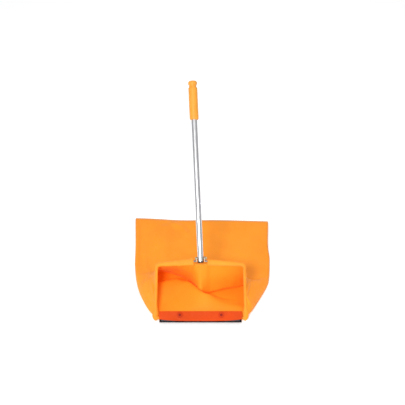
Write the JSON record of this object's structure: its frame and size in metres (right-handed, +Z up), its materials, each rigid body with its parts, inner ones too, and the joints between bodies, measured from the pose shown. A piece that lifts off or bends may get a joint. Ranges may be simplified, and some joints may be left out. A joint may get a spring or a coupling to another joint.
{
  "type": "magnetic nail sweeper",
  "caption": "Bag scoop on a long tube handle: a rod mouth with a magnet bar on its lower lip holds a fabric bag open, and the handle folds at a bolt.",
  "frame": {"origin": "on the floor, on the underside of the bag, in the middle, just behind the mouth's lower edge", "axes": "+Z up, +X to the right seen from the front, +Y from the mouth into the bag; the mouth and the handle lean back 45 degrees"},
  "size_m": [0.5618, 0.6963, 0.6758],
  "materials": {
    "bag_fabric": "matte",
    "rod_steel": "satin",
    "zinc_fasteners": "satin",
    "red_enamel": "gloss",
    "black_enamel": "satin",
    "painted_fasteners": "satin",
    "ferrite": "matte",
    "bright_aluminium": "satin",
    "black_plastic": "matte",
    "amber_grip": "satin"
  },
  "bodies": {
    "scoop": {"mouth_frame": "rod_steel", "pivot_bolt": "zinc_fasteners", "pivot_washer_left": "zinc_fasteners", "pivot_washer_right": "zinc_fasteners", "nut_washer": "zinc_fasteners", "lock_nut": "zinc_fasteners", "lip_plate": "red_enamel", "magnet_channel": "black_enamel", "magnet_1": "ferrite", "magnet_2": "ferrite", "magnet_3": "ferrite", "magnet_4": "ferrite", "lip_screw_left": "painted_fasteners", "lip_screw_right": "painted_fasteners", "lip_washer_left": "red_enamel", "lip_washer_right": "red_enamel", "rail_clip_left": "zinc_fasteners", "rail_clip_right": "zinc_fasteners", "clip_nut_left": "zinc_fasteners", "clip_nut_right": "zinc_fasteners", "bag_floor_panel": "bag_fabric", "bag_top_panel": "bag_fabric", "bag_side_left": "bag_fabric", "bag_side_right": "bag_fabric", "bag_hem_left": "bag_fabric", "bag_hem_right": "bag_fabric", "bag_hem_bottom": "bag_fabric", "bag_end_seam": "bag_fabric"},
    "handle": {"handle_tube": "bright_aluminium", "foot_plug": "black_plastic", "grip": "amber_grip"}
  },
  "joints": [
    {"name": "handle_tilt", "type": "hinge", "parent": "scoop", "child": "handle", "pos_m": [0, 0.15041, 0.17041], "axis": [0.999, 0.0321, 0.0321], "range_deg": [-55, 145]}
  ]
}
